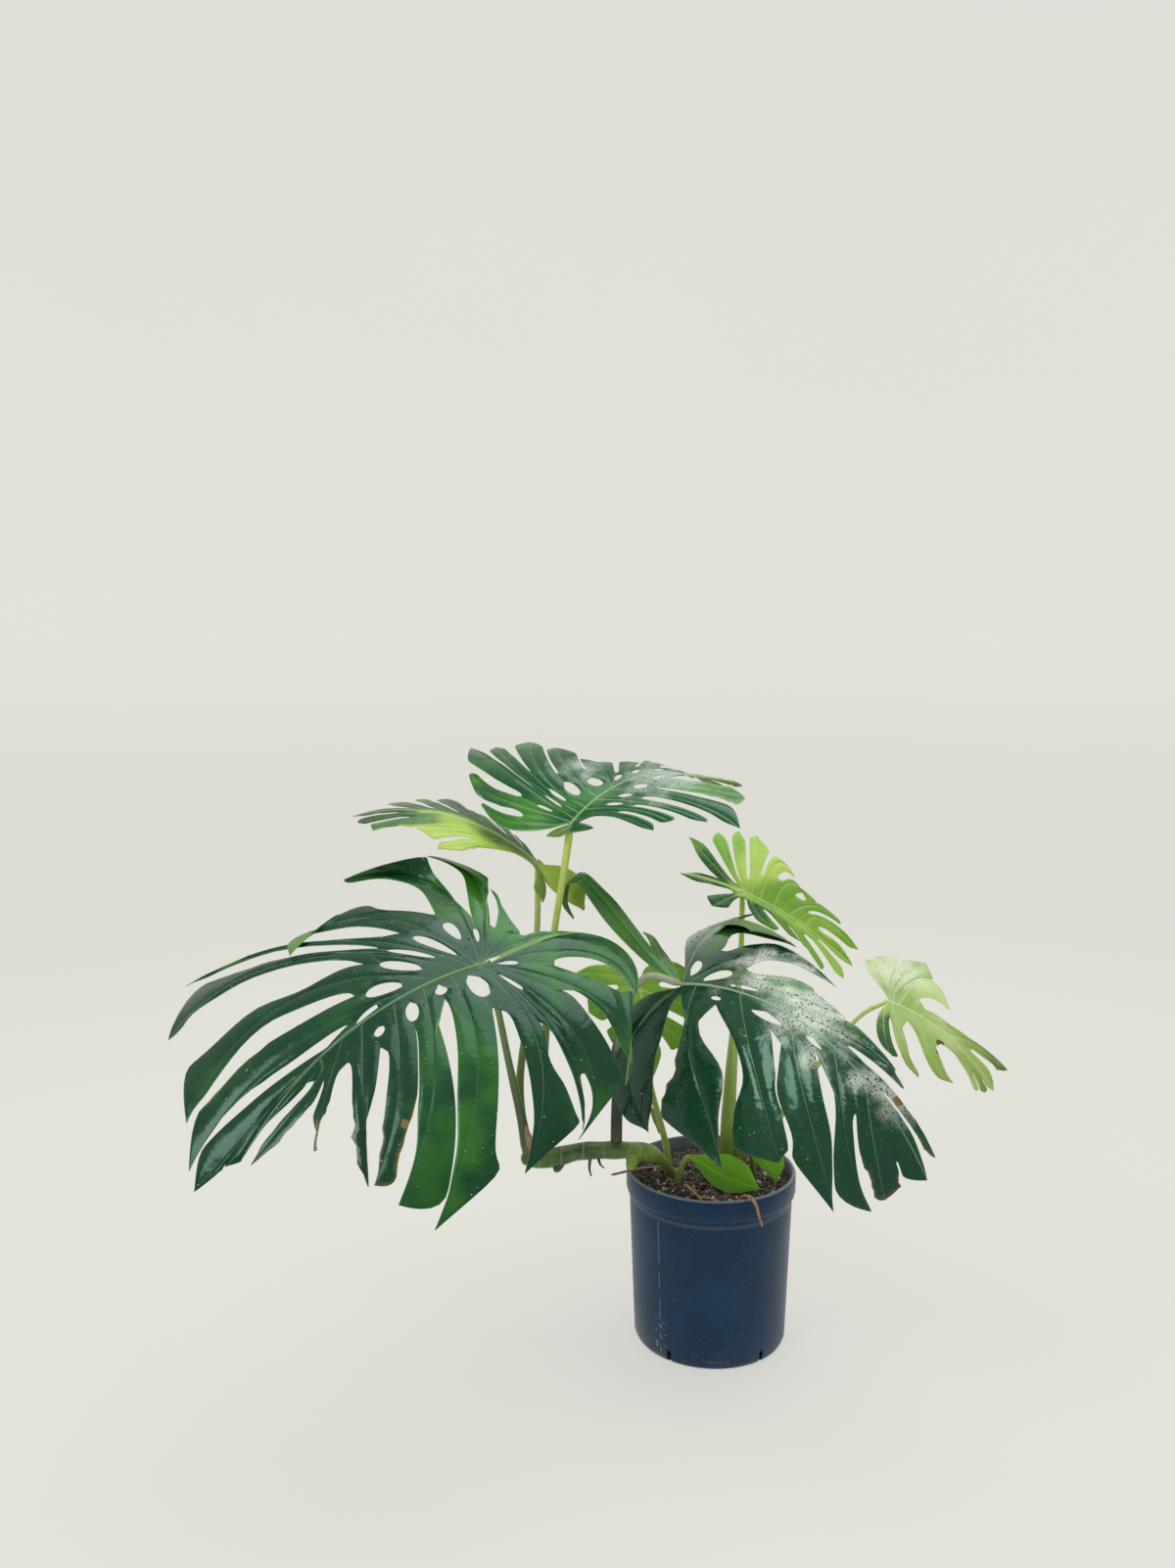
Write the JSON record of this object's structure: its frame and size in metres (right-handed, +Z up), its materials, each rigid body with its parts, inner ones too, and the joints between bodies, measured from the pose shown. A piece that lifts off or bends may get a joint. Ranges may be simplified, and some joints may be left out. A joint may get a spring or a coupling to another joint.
{
  "type": "potted swiss cheese plant",
  "caption": "Potted swiss cheese plant: split and pierced leaves on long stalks from a creeping cane, in a round ribbed-rim nursery pot filled with bark mix.",
  "frame": {"origin": "centre of the pot's flat underside, on the floor", "axes": "+Z up along the pot's axis; the side the picture shows faces -Y; +X to the right in the picture"},
  "size_m": [1.2514, 0.804, 0.9237],
  "materials": {
    "leaf_a": "satin, dark green with pale veins",
    "leaf_b": "satin, dark green with torn yellow edge",
    "leaf_c": "satin, green with pale yellow-green underside",
    "leaf_d": "glossy dark green with pale glare and dark specks",
    "leaf_e": "satin, young yellow-green",
    "leaf_f": "satin, pale green",
    "leaf_j": "satin, yellow-green",
    "young_leaf_1": "glossy, young green",
    "young_leaf_2": "glossy, young green",
    "cane": "rough green-brown bark with scars",
    "soil": "rough bark mix",
    "pot": "satin dark blue-grey"
  },
  "bodies": {
    "root": {"leaf_a": "leaf_a", "leaf_b": "leaf_b", "leaf_c": "leaf_c", "leaf_d": "leaf_d", "leaf_e": "leaf_e", "leaf_f": "leaf_f", "leaf_j": "leaf_j", "young_leaf_1": "young_leaf_1", "young_leaf_2": "young_leaf_2", "cane": "cane", "soil": "soil", "pot": "pot"}
  },
  "joints": []
}
